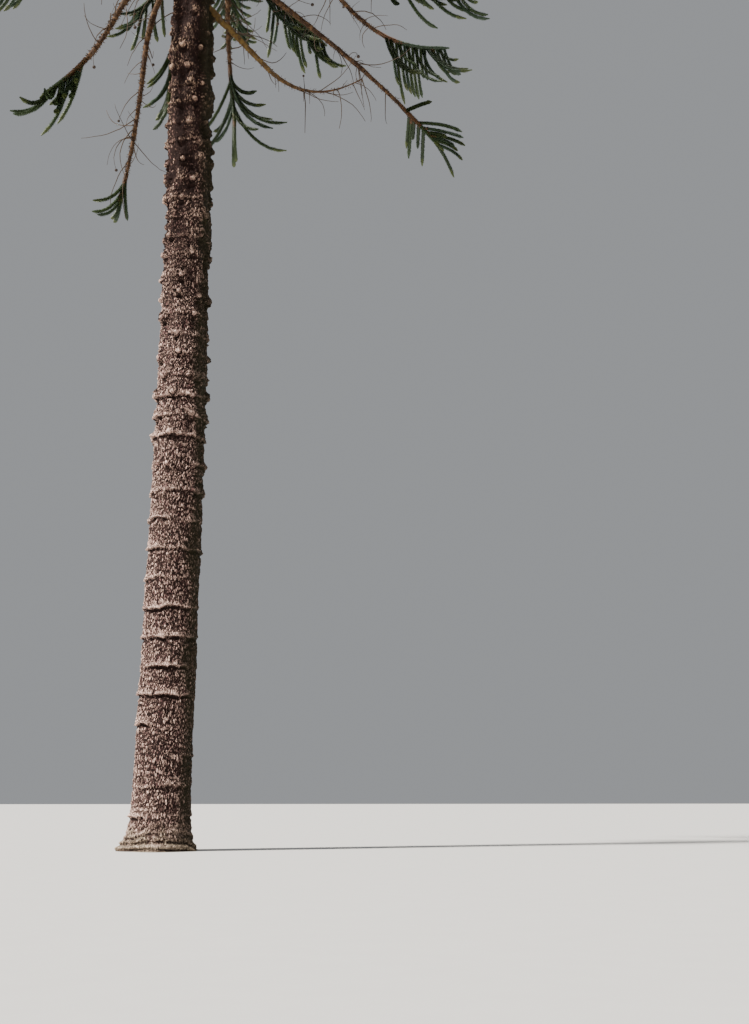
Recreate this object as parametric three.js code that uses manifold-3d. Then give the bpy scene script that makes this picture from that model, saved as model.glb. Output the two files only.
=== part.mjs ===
// A tall monkey puzzle tree: a bare ringed trunk with a flared foot, whip-like boughs that droop from the
// lower edge of the crown, and masses of snaky leaf-clad shoots at their ends and all round the upper trunk.
// Millimetres, +Z up, with the origin at the centre of the flat cut at ground level.
import * as THREE from "three";
import { mergeVertices } from "three/addons/utils/BufferGeometryUtils.js";
import Module from "manifold-3d";

const wasm = await Module();
wasm.setup();

// Trunk
const TRUNK_TOP = 23600;
const CROWN_BASE = 15600;
const FOOT_DIAMETER = 985;
const TAPER = 0.0148;
const TIP_RADIUS = 42;
const FLARE_REACH = 155;
const FLARE_HEIGHT = 270;
const FLARE_LOBES = 5;
const FLARE_LOBE_SHARE = 0.07;
const FLARE_TURN = 36;
const BOW = 190;
const BOW_HEIGHT = 24000;
const TRUNK_SIDES = 16;
const FOOT_LEVELS = [0, 110, 260];
const RING_FIRST = 550;
const RING_SPACING = 500;
const RING_LAST = 7050;
const RING_LEDGE = 17;
const RING_UNDERCUT = 45;
const UPPER_STEP = 1450;

// Limbs
const LIMB_ROOT_RADIUS = 66;
const LIMB_END_RADIUS = 30;
const COLLAR_REACH = 26;
const COLLAR_LENGTH = 240;
const LIMB_STEPS = 24;
const LIMB_SIDES = 5;
const LIMB_STRIDE = 3;
const LEAFY_STRIDE = 2;
const FIRST_TURN = 0.45;
const SEAT_GAP = 0.3;
const CUT_GAP = 0.35;
const WELD = 0.02;

// Shoots and leaves. Every fifth shoot of the living tree, the leading ones, is a solid here.
const SHOOT_STRIDE = 5;
const SHOOT_SEED = 1000;
const LEAFY_START = 0.035;
const LEAFY_END = 0.985;
const ASIDE_JITTER = 30;
const HANGING = 6;
const HANGING_JITTER = 22;
const HOOK_FIRST = 0.6;
const HOOK_JITTER = 16;
const HOOK_POWER = 1.6;
const LEADING_LENGTHS = [0.95, 1.15];
const LESSER_LENGTHS = [0.5, 1];
const END_LENGTH = 0.72;
const SHOOT_STEPS = 8;
const SHOOT_STATIONS = [0, 3, 6, SHOOT_STEPS];
const SHOOT_RADII = [36, 52, 47, 0];
const SHOOT_RADIUS = Math.max(...SHOOT_RADII);
const SHOOT_SIDES = 3;
const STEM_SIDES = 4;
const STEM_RADIUS = 46;
const STEM_LEAST_GIRTH = 0.7;
const LEAF_STRIDE = 2;
const LEAF_LENGTH = 180;
const LEAF_WIDTH = 74;
const LEAF_KEEL = 24;
const LEAF_SHOULDER = 0.42;
const LEAF_LEAN = 48;
const LEAF_FIRST = 3;
const CLEARANCE = 60;
const FINEST = 5;

// The boughs under the crown, one row each: the compass angle and height at which it leaves the trunk, its
// length, its slope at the trunk, in its hanging part and at its end, its sideways sway, the share of it
// that is bare, and the mean length of its shoots, which is 0 on a dead limb. Three rows have a habit of
// their own, whose terms are told below.
const BOUGHS = [
  {
    angle: 205, height: 15930, length: 4500, slopes: [-8, -66, -47], sway: 3, bare: 0.71, shoot: 1120,
    hook: 74, spread: 84,
  },
  { angle: 143, height: 16600, length: 5200, slopes: [-35, -84, -76], sway: -6, bare: 0.87, shoot: 720 },
  { angle: 133, height: 17380, length: 2350, slopes: [-42, -58, -4], sway: 0, bare: 0.54, shoot: 950 },
  { angle: 104, height: 17120, length: 3530, slopes: [-19, -68, -86], sway: 1, bare: 0.58, shoot: 950 },
  { angle: 358, height: 15740, length: 4020, slopes: [-44, -47, 31], sway: -1, bare: 1, shoot: 0 },
  {
    angle: 57, height: 17840, length: 4770, slopes: [-9, -88, -76], sway: -4, bare: 0.75, shoot: 1500,
    spread: 96,
  },
  {
    angle: 16, height: 16850, length: 6250, slopes: [-24, -28, -40], sway: 2, bare: 0.79, shoot: 1000,
    hang: 0.25, hook: -36, spread: 78,
  },
  { angle: 37, height: 17600, length: 4000, slopes: [-48, -12, -13], sway: 4, bare: 0.5, shoot: 1150 },
  { angle: 26, height: 18580, length: 6950, slopes: [-6, -39, 20], sway: 4, bare: 0.71, shoot: 1250 },
  { angle: 341, height: 18200, length: 6000, slopes: [-22, -40, -12], sway: 4, bare: 0.7, shoot: 1100 },
  { angle: 187, height: 17600, length: 5000, slopes: [-18, -42, -14], sway: 4, bare: 0.62, shoot: 1050 },
  { angle: 226, height: 17700, length: 5000, slopes: [-10, -34, -10], sway: 4, bare: 0.58, shoot: 1000 },
  { angle: 252, height: 18300, length: 5100, slopes: [-10, -36, -10], sway: -4, bare: 0.6, shoot: 1050 },
  { angle: 277, height: 17900, length: 4800, slopes: [-8, -30, -6], sway: 4, bare: 0.58, shoot: 1000 },
  { angle: 300, height: 17350, length: 4600, slopes: [-6, -28, -6], sway: 4, bare: 0.58, shoot: 950 },
  { angle: 320, height: 18000, length: 5200, slopes: [-12, -34, -12], sway: -4, bare: 0.6, shoot: 1050 },
];

// What the boughs share: girth, how far the shoots hang, the angle from straight down of one that doesn't,
// how far they hook, and how far they spread to each side.
const BOUGH_HABIT = { shoots: 30, girth: 1, hang: 0.96, rise: 80, hook: 80, spread: 54 };

// The whorls of the upper crown. Their boughs go from level and long to steep and short.
const WHORL_SEED = 900;
const WHORL_SEED_STEP = 10;
const WHORL_FIRST = 19000;
const WHORL_SPACING = 690;
const WHORL_COUNTS = [5, 5, 4, 4, 4, 3, 2];
const WHORL_TWIST = 137.5;
const WHORL_LENGTHS = [5250, 1450];
const WHORL_SLOPES_LOW = [2, -26, -8];
const WHORL_SLOPES_HIGH = [58, 30, 56];
const WHORL_SWAY = 5;
const WHORL_JITTER = { angle: 16, height: 120, length: 0.06 };
const WHORL_BARE = [0.46, 0.2];
const WHORL_SHOOT_LENGTHS = [1050, 620];
const WHORL_LEADING = [6, 5];
const WHORL_GIRTHS = [1, 0.62];
const WHORL_HANG = [0.78, 0];
const WHORL_RISE = [60, 105];
const WHORL_HOOK = 78;
const WHORL_SPREAD = 62;

// The leader stands on the trunk's tip.
const LEADER = {
  angle: 0, length: 700, slopes: [90, 90, 90], sway: 0, bare: 0.12, shoot: 560, shoots: 25, girth: 0.5,
  hang: 0, rise: 118, hook: 78, spread: 180, isLeader: true,
};

const BARK = { color: 0x6e5f57, roughness: 0.95, metalness: 0 };
const LIMB_BARK = { color: 0x5d4a3a, roughness: 0.92, metalness: 0 };
const LEAF = { color: 0x2f4a26, roughness: 0.6, metalness: 0 };

const mix = (a, b, t) => a + (b - a) * t;
const smooth = (t) => t * t * (3 - 2 * t);
const radians = THREE.MathUtils.degToRad;
const bow = (z) => BOW * Math.sin((Math.PI * z) / BOW_HEIGHT);

// A repeatable stream of numbers between 0 and 1.
function stream(seed) {
  const modulus = 2147483647;
  const factor = 16807;
  const step = (value) => (value * factor) % modulus;
  let state = step(step(step(((seed * 7919) % modulus) + 1)));
  return () => {
    state = step(state);
    return state / modulus;
  };
}

// Solids from geometries and back. Corners nearer than the weld distance become one, and the triangles that
// this flattens are dropped.
function solidOf(geometry) {
  const bare = geometry.clone();
  bare.deleteAttribute("normal");
  bare.deleteAttribute("uv");
  const merged = mergeVertices(bare, WELD);
  const corners = merged.index.array;
  const kept = [];
  for (let i = 0; i < corners.length; i += 3) {
    const [a, b, c] = corners.slice(i, i + 3);
    if (a !== b && b !== c && c !== a) {
      kept.push(a, b, c);
    }
  }
  const vertProperties = new Float32Array(merged.attributes.position.array);
  const triVerts = new Uint32Array(kept);
  return new wasm.Manifold(new wasm.Mesh({ numProp: 3, vertProperties, triVerts }));
}

// The largest closed body of a solid, without loose scraps.
function largestBody(solid) {
  const bodies = solid.decompose();
  return bodies.reduce((best, body) => (body.volume() > best.volume() ? body : best));
}

function geometryOf(solid) {
  const { vertProperties, triVerts } = solid.getMesh();
  const geometry = new THREE.BufferGeometry();
  geometry.setAttribute("position", new THREE.BufferAttribute(new Float32Array(vertProperties), 3));
  geometry.setIndex(new THREE.BufferAttribute(new Uint32Array(triVerts), 1));
  geometry.computeVertexNormals();
  return geometry;
}

// One clean closed body. Welding its near corners can pinch off a scrap, so the largest is taken again.
function cleanGeometry(solid) {
  return geometryOf(largestBody(solidOf(geometryOf(largestBody(solid)))));
}

function namedMesh(name, geometry, finish) {
  const mesh = new THREE.Mesh(geometry, new THREE.MeshStandardMaterial(finish));
  mesh.name = name;
  return mesh;
}

// A closed loft along the numbered stations of a path, with a regular section of the given radius at each,
// square to the path and carried without twist. The first section can be moved on by a small start gap. The
// loft ends flat, or in a point where the last radius is 0.
function loft(path, stations, radii, sides, startGap = 0) {
  const positions = [];
  const index = [];
  const across = new THREE.Vector3(0, 1, 0);
  stations.forEach((station, i) => {
    const behind = path[Math.max(station - 1, 0)];
    const ahead = path[Math.min(station + 1, path.length - 1)];
    const tangent = ahead.clone().sub(behind).normalize();
    across.addScaledVector(tangent, -across.dot(tangent)).normalize();
    const up = tangent.clone().cross(across);
    for (let k = 0; k < sides; k++) {
      const turn = (2 * Math.PI * k) / sides;
      const corner = path[station].clone().addScaledVector(tangent, i === 0 ? startGap : 0);
      corner.addScaledVector(across, radii[i] * Math.cos(turn));
      corner.addScaledVector(up, radii[i] * Math.sin(turn));
      positions.push(corner.x, corner.y, corner.z);
    }
  });
  const last = (stations.length - 1) * sides;
  for (let ring = 0; ring < last; ring += sides) {
    for (let k = 0; k < sides; k++) {
      const a = ring + k;
      const b = ring + ((k + 1) % sides);
      index.push(a, b, a + sides);
      index.push(b, b + sides, a + sides);
    }
  }
  for (let k = 1; k + 1 < sides; k++) {
    index.push(0, k + 1, k);
    index.push(last, last + k, last + k + 1);
  }
  const geometry = new THREE.BufferGeometry();
  geometry.setAttribute("position", new THREE.Float32BufferAttribute(positions, 3));
  geometry.setIndex(index);
  return geometry;
}

// Trunk: the radius falls evenly to the crown and then to the tip, and the foot flares out in lobes.
function trunkRadius(z) {
  const shaft = (FOOT_DIAMETER - TAPER * Math.min(z, CROWN_BASE)) / 2;
  const above = Math.max(0, (z - CROWN_BASE) / (TRUNK_TOP - CROWN_BASE));
  return mix(shaft, TIP_RADIUS, above);
}

function trunkGeometry(extra) {
  const profile = [new THREE.Vector2(0, 0)];
  const level = (z, ledge) => profile.push(new THREE.Vector2(trunkRadius(z) + ledge + extra, z));
  FOOT_LEVELS.forEach((z) => level(z, 0));
  for (let z = RING_FIRST; z <= RING_LAST; z += RING_SPACING) {
    level(z - RING_UNDERCUT, 0);
    level(z, RING_LEDGE);
  }
  for (let z = RING_LAST + UPPER_STEP; z < TRUNK_TOP - UPPER_STEP / 2; z += UPPER_STEP) {
    level(z, 0);
  }
  level(TRUNK_TOP, 0);
  profile.push(new THREE.Vector2(0, TRUNK_TOP));
  const geometry = new THREE.LatheGeometry(profile, TRUNK_SIDES);
  geometry.rotateX(Math.PI / 2);
  const place = geometry.attributes.position;
  for (let i = 0; i < place.count; i++) {
    const z = place.getZ(i);
    const radius = Math.hypot(place.getX(i), place.getY(i));
    const turn = Math.atan2(place.getY(i), place.getX(i));
    const fade = Math.exp(-z / FLARE_HEIGHT);
    const lobe = 1 + FLARE_LOBE_SHARE * fade * Math.cos(FLARE_LOBES * (turn - radians(FLARE_TURN)));
    const reach = radius > 1 ? (radius + FLARE_REACH * fade) * lobe : 0;
    place.setXYZ(i, reach * Math.cos(turn) + bow(z), reach * Math.sin(turn), z);
  }
  return geometry;
}

// A limb starts on the trunk's axis, runs out along +X of its own frame, and bends through its slopes.
function limbPath(limb) {
  const [leave, hang, end] = limb.slopes;
  const points = [new THREE.Vector3()];
  for (let i = 0; i < LIMB_STEPS; i++) {
    const s = (i + 0.5) / LIMB_STEPS;
    const early = mix(leave, hang, smooth(Math.min(s / FIRST_TURN, 1)));
    const late = smooth(Math.max((s - FIRST_TURN) / (1 - FIRST_TURN), 0));
    const slope = radians(mix(early, end, late));
    const side = radians(limb.sway * Math.sin(Math.PI * s));
    const run = (limb.length / LIMB_STEPS) * Math.cos(slope);
    const rise = (limb.length / LIMB_STEPS) * Math.sin(slope);
    const step = new THREE.Vector3(run * Math.cos(side), run * Math.sin(side), rise);
    points.push(points[i].clone().add(step));
  }
  return points;
}

function limbRadius(limb, s) {
  const collar = COLLAR_REACH * Math.exp((-s * limb.length) / COLLAR_LENGTH);
  return (mix(LIMB_ROOT_RADIUS, LIMB_END_RADIUS, s) + collar) * limb.girth;
}

function pathPoint(points, s) {
  const place = s * LIMB_STEPS;
  const i = Math.min(Math.floor(place), LIMB_STEPS - 1);
  return points[i].clone().lerp(points[i + 1], place - i);
}

// Shoots stand in two rows along the leafy end of a limb. Each hangs or rises from it and then hooks
// outwards, in the plane of the vertical and its own compass angle. Those nearest the trunk hook least.
function shootPath(limb, i) {
  const random = stream(limb.seed + i);
  const t = (i + 0.5) / limb.shoots;
  const side = i % 2 ? 1 : -1;
  const leading = i % SHOOT_STRIDE === 0;
  const aside = side * mix(limb.spread, limb.spread / 3, t) + (random() - 0.5) * ASIDE_JITTER;
  const compass = new THREE.Vector3(Math.cos(radians(aside)), Math.sin(radians(aside)), 0);
  const from = mix(limb.rise, HANGING, limb.hang) + random() * HANGING_JITTER;
  const to = from + limb.hook * mix(HOOK_FIRST, 1, t) + random() * HOOK_JITTER;
  const share = mix(...(leading ? LEADING_LENGTHS : LESSER_LENGTHS), random());
  const length = limb.shoot * share * mix(1, END_LENGTH, t * t);
  const path = [pathPoint(limb.points, mix(limb.bare + LEAFY_START, LEAFY_END, t))];
  for (let k = 0; k < SHOOT_STEPS; k++) {
    const bend = radians(mix(from, to, ((k + 0.5) / SHOOT_STEPS) ** HOOK_POWER));
    const step = compass.clone().multiplyScalar(Math.sin(bend));
    step.z = -Math.cos(bend);
    path.push(path[k].clone().addScaledVector(step, length / SHOOT_STEPS));
  }
  return { path, random };
}

// A leaf is a long lozenge with a keel on its back and its root inside the shoot, leaning forward from it.
function leafGeometry(root, along, outward) {
  const lean = radians(LEAF_LEAN);
  const forward = along.clone().multiplyScalar(Math.cos(lean)).addScaledVector(outward, Math.sin(lean));
  const across = along.clone().cross(outward).normalize();
  const flat = forward.clone().cross(across).normalize();
  const middle = root.clone().addScaledVector(forward, LEAF_LENGTH * LEAF_SHOULDER);
  const corners = [
    root,
    root.clone().addScaledVector(forward, LEAF_LENGTH),
    middle.clone().addScaledVector(across, LEAF_WIDTH / 2),
    middle.clone().addScaledVector(flat, LEAF_KEEL),
    middle.clone().addScaledVector(across, -LEAF_WIDTH / 2),
  ];
  const index = [];
  for (let k = 0; k < 3; k++) {
    const a = 2 + k;
    const b = 2 + ((k + 1) % 3);
    index.push(1, a, b);
    index.push(0, b, a);
  }
  const geometry = new THREE.BufferGeometry();
  geometry.setAttribute("position", new THREE.Float32BufferAttribute(corners.flatMap((c) => c.toArray()), 3));
  geometry.setIndex(index);
  return geometry;
}

// Space that is taken: points with a radius, each belonging to one limb.
const taken = [];
function claim(limb, points, radius) {
  points.forEach((point) => taken.push({ limb, place: point.clone().applyMatrix4(limb.frame), radius }));
}

function isFree(limb, point, radius) {
  const place = point.clone().applyMatrix4(limb.frame);
  return taken.every((other) => {
    return other.limb === limb || place.distanceTo(other.place) > radius + other.radius + CLEARANCE;
  });
}

// All limbs: the named boughs, the whorls above them, and the leader on the tip of the trunk.
function whorlLimbs() {
  const limbs = [];
  WHORL_COUNTS.forEach((count, whorl) => {
    const u = whorl / (WHORL_COUNTS.length - 1);
    for (let k = 0; k < count; k++) {
      const random = stream(WHORL_SEED + WHORL_SEED_STEP * whorl + k);
      limbs.push({
        angle: (whorl * WHORL_TWIST + (k * 360) / count + (random() - 0.5) * WHORL_JITTER.angle) % 360,
        height: WHORL_FIRST + whorl * WHORL_SPACING + (random() - 0.5) * WHORL_JITTER.height,
        length: mix(...WHORL_LENGTHS, u) * (1 + WHORL_JITTER.length * mix(-1, 1, random())),
        slopes: WHORL_SLOPES_LOW.map((low, i) => mix(low, WHORL_SLOPES_HIGH[i], u)),
        sway: WHORL_SWAY * mix(-1, 1, random()),
        bare: mix(...WHORL_BARE, u),
        shoot: mix(...WHORL_SHOOT_LENGTHS, u),
        shoots: SHOOT_STRIDE * Math.round(mix(...WHORL_LEADING, u)),
        girth: mix(...WHORL_GIRTHS, u),
        hang: mix(...WHORL_HANG, u),
        rise: mix(...WHORL_RISE, u),
        hook: WHORL_HOOK,
        spread: WHORL_SPREAD,
      });
    }
  });
  return limbs;
}

function allLimbs() {
  const boughs = BOUGHS.map((row) => ({ ...BOUGH_HABIT, ...row, isBough: true }));
  const leader = { ...LEADER, height: TRUNK_TOP + SEAT_GAP };
  const limbs = [...boughs, ...whorlLimbs(), leader];
  limbs.forEach((limb, i) => {
    limb.seed = SHOOT_SEED * (i + 1);
    limb.points = limbPath(limb);
    limb.frame = new THREE.Matrix4().makeRotationZ(radians(limb.angle));
    limb.frame.setPosition(bow(limb.height), 0, limb.height);
    limb.bareSteps = Math.round(limb.bare * LIMB_STEPS);
    claim(limb, limb.points.slice(2), STEM_RADIUS);
  });
  return limbs;
}

function cutByTrunk(solid, limb) {
  const cutter = trunkGeometry(CUT_GAP).applyMatrix4(limb.frame.clone().invert());
  return solid.subtract(solidOf(cutter));
}

// A bough is a bare tapering limb from the trunk's surface to where its foliage starts.
function boughGeometry(limb) {
  const stations = [];
  for (let i = 0; i < limb.bareSteps; i += LIMB_STRIDE) {
    stations.push(i);
  }
  stations.push(limb.bareSteps);
  const radii = stations.map((i) => limbRadius(limb, i / LIMB_STEPS));
  const solid = solidOf(loft(limb.points, stations, radii, LIMB_SIDES));
  return cleanGeometry(cutByTrunk(solid, limb));
}

// The stem of a mass carries on from the end of its bough, or comes straight from the trunk.
function stemGeometry(limb) {
  const first = limb.isBough ? limb.bareSteps : 0;
  const stride = limb.isBough ? LEAFY_STRIDE : LIMB_STRIDE;
  const stations = [first];
  for (let i = first + stride; i < LIMB_STEPS - 1; i += stride) {
    stations.push(i);
  }
  stations.push(LIMB_STEPS);
  const leafy = STEM_RADIUS * Math.max(limb.girth, STEM_LEAST_GIRTH);
  const radii = stations.map((i) => {
    if (i === LIMB_STEPS) return 0;
    return i <= limb.bareSteps ? Math.min(limbRadius(limb, i / LIMB_STEPS), leafy) : leafy;
  });
  return loft(limb.points, stations, radii, STEM_SIDES, limb.isBough ? SEAT_GAP : 0);
}

// A mass of foliage: the stem, its leading shoots, and leaves on every second one, fused into one body. Edges
// that can go without moving its surface further than the finest detail are taken out.
function foliageGeometry(limb) {
  let solid = solidOf(stemGeometry(limb));
  for (let i = 0; i < limb.shoots; i += SHOOT_STRIDE) {
    const { path, random } = shootPath(limb, i);
    if (path.every((point) => isFree(limb, point, SHOOT_RADIUS))) {
      solid = solid.add(solidOf(loft(path, SHOOT_STATIONS, SHOOT_RADII, SHOOT_SIDES)));
      claim(limb, path, SHOOT_RADIUS);
      if (i % (SHOOT_STRIDE * LEAF_STRIDE) === 0) {
        const k = LEAF_FIRST + Math.floor(random() * (SHOOT_STEPS - LEAF_FIRST));
        const along = path[k + 1].clone().sub(path[k - 1]).normalize();
        const outward = new THREE.Vector3(random() - 0.5, random() - 0.5, random() - 0.5);
        outward.addScaledVector(along, -outward.dot(along)).normalize();
        const tip = path[k].clone().addScaledVector(outward, LEAF_LENGTH);
        if (isFree(limb, tip, 0)) {
          solid = solid.add(solidOf(leafGeometry(path[k], along, outward)));
        }
      }
    }
  }
  solid = solid.simplify(FINEST);
  return cleanGeometry(limb.isLeader ? solid : cutByTrunk(solid, limb));
}

const tree = new THREE.Group();
tree.add(namedMesh("trunk", mergeVertices(trunkGeometry(0)), BARK));

const numbered = (name, number) => `${name}_${String(number).padStart(2, "0")}`;
allLimbs().forEach((limb, i) => {
  const branch = new THREE.Group();
  branch.position.setFromMatrixPosition(limb.frame);
  branch.rotation.z = radians(limb.angle);
  if (limb.isBough) {
    branch.add(namedMesh(numbered("bough", i + 1), boughGeometry(limb), LIMB_BARK));
  }
  if (limb.shoot > 0) {
    const above = limb.isLeader ? "crown_leader" : numbered("crown_foliage", i + 1 - BOUGHS.length);
    const name = limb.isBough ? numbered("foliage", i + 1) : above;
    branch.add(namedMesh(name, foliageGeometry(limb), LEAF));
  }
  tree.add(branch);
});

export default tree;
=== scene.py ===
import math

import bpy
import numpy as np
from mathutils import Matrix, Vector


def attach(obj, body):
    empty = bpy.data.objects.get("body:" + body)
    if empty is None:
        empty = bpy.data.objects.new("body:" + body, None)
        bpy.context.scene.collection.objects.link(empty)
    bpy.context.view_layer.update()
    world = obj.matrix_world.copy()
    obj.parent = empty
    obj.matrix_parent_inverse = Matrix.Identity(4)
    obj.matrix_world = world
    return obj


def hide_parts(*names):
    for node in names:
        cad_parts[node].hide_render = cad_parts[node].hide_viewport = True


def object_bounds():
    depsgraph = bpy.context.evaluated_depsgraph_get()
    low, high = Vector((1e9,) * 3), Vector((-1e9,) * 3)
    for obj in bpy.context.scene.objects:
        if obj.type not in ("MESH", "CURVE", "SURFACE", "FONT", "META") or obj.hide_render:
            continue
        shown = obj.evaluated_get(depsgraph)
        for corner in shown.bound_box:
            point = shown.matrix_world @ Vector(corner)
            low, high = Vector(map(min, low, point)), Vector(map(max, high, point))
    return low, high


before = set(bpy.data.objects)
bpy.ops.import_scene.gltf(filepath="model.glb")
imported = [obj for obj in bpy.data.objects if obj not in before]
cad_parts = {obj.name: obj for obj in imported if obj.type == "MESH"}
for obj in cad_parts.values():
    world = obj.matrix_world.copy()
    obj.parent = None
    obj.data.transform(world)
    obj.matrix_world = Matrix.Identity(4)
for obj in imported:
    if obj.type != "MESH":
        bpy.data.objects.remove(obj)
cad_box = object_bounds()


# TRUNK
# One tall stem of soft wood under thick bark, slightly bowed, with a foot that flares out in lobes. The bark
# is cut into small upright plates, with a ring of ledges for each year's whorl of lost boughs, and higher up
# the stubs of those boughs still stand out as pale knobs.
TRUNK_TOP = 23.6
CROWN_BASE = 15.6
FOOT_DIAMETER = 0.985
TAPER = 0.0148
TIP_RADIUS = 0.042
FLARE_REACH = 0.155
FLARE_HEIGHT = 0.27
FLARE_LOBES = 5
FLARE_LOBE_SHARE = 0.07
FLARE_TURN = 36
BOW = 0.19
BOW_HEIGHT = 24.0
RING_FIRST = 0.55
RING_SPACING = 0.5
RING_LAST = 7.05
KNOB_SPACING = 0.37
KNOBS_FROM = 4.4
KNOB_COUNTS = (4, 8)
KNOB_SIZES = (0.038, 0.060)
KNOB_REACHES = (0.040, 0.080)
PLATE_WIDTH = 0.028
PLATE_HEIGHT = 0.096
PLATE_DEPTH = 0.019
COARSE_DEPTH = 0.052
ROPE_DEPTH = 0.058
LIP_DEPTH = 0.042
GROOVE_DEPTH = 0.024
ROOT_FOLDS = 58
FOLD_DEPTH = 0.034
FOOT_LUMP_DEPTH = 0.085
FOOT_HEIGHT = 0.24
GRAIN_SCALE = 50.0
BARK_BUMP = 0.023
BARK_BROWN = (0.230, 0.105, 0.098, 1)
BARK_PINK = (0.375, 0.186, 0.176, 1)
BARK_MAUVE = (0.275, 0.130, 0.142, 1)
# Painted shade: the bark turns to this darker colour towards the crown.
BARK_HIGH_SHADE = (0.125, 0.068, 0.052, 1)
PALE_LOW = (0.97, 0.67, 0.56, 1)
# Painted shade: the pale bark is darker towards the crown.
PALE_HIGH_SHADE = (0.58, 0.385, 0.27, 1)
FOOT_DUST = (0.60, 0.48, 0.34, 1)
# Dark of real cracks, also painted shadow under rings and knobs, in dips and in the foot's creases.
CRACK_AND_SHADE_DARK = (0.022, 0.009, 0.007, 1)
# Green of wet bark, also painted shade on the side away from the key light.
DAMP_AND_SHADE_GREEN = (0.022, 0.019, 0.007, 1)
TRUNK_PIECES = {
    "trunk_bark_foot": (0.0, 3.6, 320, 300),
    "trunk_bark_low": (3.6, 7.4, 330, 290),
    "trunk_bark_middle": (7.4, 11.4, 340, 280),
    "trunk_bark_high": (11.4, 15.8, 360, 260),
    "trunk_bark_top": (15.8, TRUNK_TOP, 380, 140),
}


def mix(low, high, share):
    """A value between low and high: low + (high - low) * share."""
    return low + (high - low) * share


def smooth(share):
    """An ease from 0 to 1, level at both ends: 3 s^2 - 2 s^3 of the share held between 0 and 1."""
    share = np.clip(share, 0, 1)
    return share * share * (3 - 2 * share)


def bow(height):
    """How far the trunk's axis stands to +X at a height: half a sine wave over the bow's height."""
    return BOW * np.sin(np.pi * height / BOW_HEIGHT)


def lattice(across, along, cells, seed):
    """Soft patches from -1 to 1: random numbers on a lattice, eased between them and closed round the trunk.

    across runs from 0 to 1 once round, and along counts cells."""
    table = np.random.default_rng(seed).uniform(-1, 1, (cells, 512))
    u = across * cells
    i = np.floor(u).astype(int)
    j = np.floor(along).astype(int)
    fu = smooth(u - i)
    fv = smooth(along - j)
    low = mix(table[i % cells, j % 512], table[(i + 1) % cells, j % 512], fu)
    high = mix(table[i % cells, (j + 1) % 512], table[(i + 1) % cells, (j + 1) % 512], fu)
    return mix(low, high, fv)


def plates(across, along, cells, seed):
    """Cells round jittered points: the distance to the second nearest point less that to the nearest, which
    is 0 on the cracks between plates, and a random number for each plate."""
    table = np.random.default_rng(seed).uniform(0, 1, (3, cells, 512))
    u = across * cells
    i = np.floor(u).astype(int)
    j = np.floor(along).astype(int)
    nearest = np.full(u.shape, 9.0)
    second = np.full(u.shape, 9.0)
    own = np.zeros(u.shape)
    for di in (-1, 0, 1):
        for dj in (-1, 0, 1):
            ci = (i + di) % cells
            cj = (j + dj) % 512
            gap = np.hypot(i + di + table[0, ci, cj] - u, j + dj + table[1, ci, cj] - along)
            closer = gap < nearest
            second = np.where(closer, nearest, np.minimum(second, gap))
            own = np.where(closer, table[2, ci, cj], own)
            nearest = np.where(closer, gap, nearest)
    return second - nearest, own


def trunk_radius(height, turn):
    """The trunk's radius: a shaft that tapers evenly to the crown and on to the tip, and a foot that flares
    by e^(-height / flare height), in lobes round the turn."""
    shaft = (FOOT_DIAMETER - TAPER * np.minimum(height, CROWN_BASE)) / 2
    above = np.maximum(0, (height - CROWN_BASE) / (TRUNK_TOP - CROWN_BASE))
    fade = np.exp(-height / FLARE_HEIGHT)
    lobe = 1 + FLARE_LOBE_SHARE * fade * np.cos(FLARE_LOBES * (turn - math.radians(FLARE_TURN)))
    return (mix(shaft, TIP_RADIUS, above) + FLARE_REACH * fade) * lobe


def ring_heights():
    """The heights of the rings: evenly spaced low down, then a knob spacing apart up to the tip."""
    low = np.arange(RING_FIRST, RING_LAST + 0.01, RING_SPACING)
    high = np.arange(RING_LAST + KNOB_SPACING, TRUNK_TOP - 0.3, KNOB_SPACING)
    return np.concatenate([low, high])


def knob_table():
    """Each knob's turn, height, radius and reach: four to seven on every ring from where they start."""
    random = np.random.default_rng(41)
    rows = []
    for ring in ring_heights():
        if ring < KNOBS_FROM:
            continue
        count = random.integers(*KNOB_COUNTS)
        first = random.uniform(0, 2 * np.pi)
        fade = smooth((ring - KNOBS_FROM) / 3.5) * mix(1.0, 0.35, smooth((ring - CROWN_BASE) / 6))
        for k in range(count):
            turn = first + 2 * np.pi * (k + random.uniform(-0.3, 0.3)) / count
            size = random.uniform(*KNOB_SIZES)
            height = ring + random.uniform(-0.05, 0.05)
            rows.append((turn, height, size, fade * random.uniform(*KNOB_REACHES)))
    return rows


KNOBS = knob_table()


def bark_plates(across, height):
    """Small upright plates, as a relief from 0 in the cracks to 1, and each plate's own number.

    The plates lean one way and then the other round the trunk, and their edges wander."""
    around = int(round(np.pi * 0.92 / PLATE_WIDTH))
    lean = 0.10 * lattice(across, height * 0.9, 5, 13) + 0.05
    wander = 0.006 * lattice(across, height * 7, 26, 14)
    slanted = (across + lean * (height % 40) * 0.12 + wander) % 1
    stagger = 0.8 * lattice(across, height * 3.1, 17, 15)
    edge, own = plates(slanted, height / PLATE_HEIGHT + stagger, around, 11)
    return smooth(edge / 0.55) * mix(0.35, 1, own), own


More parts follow.
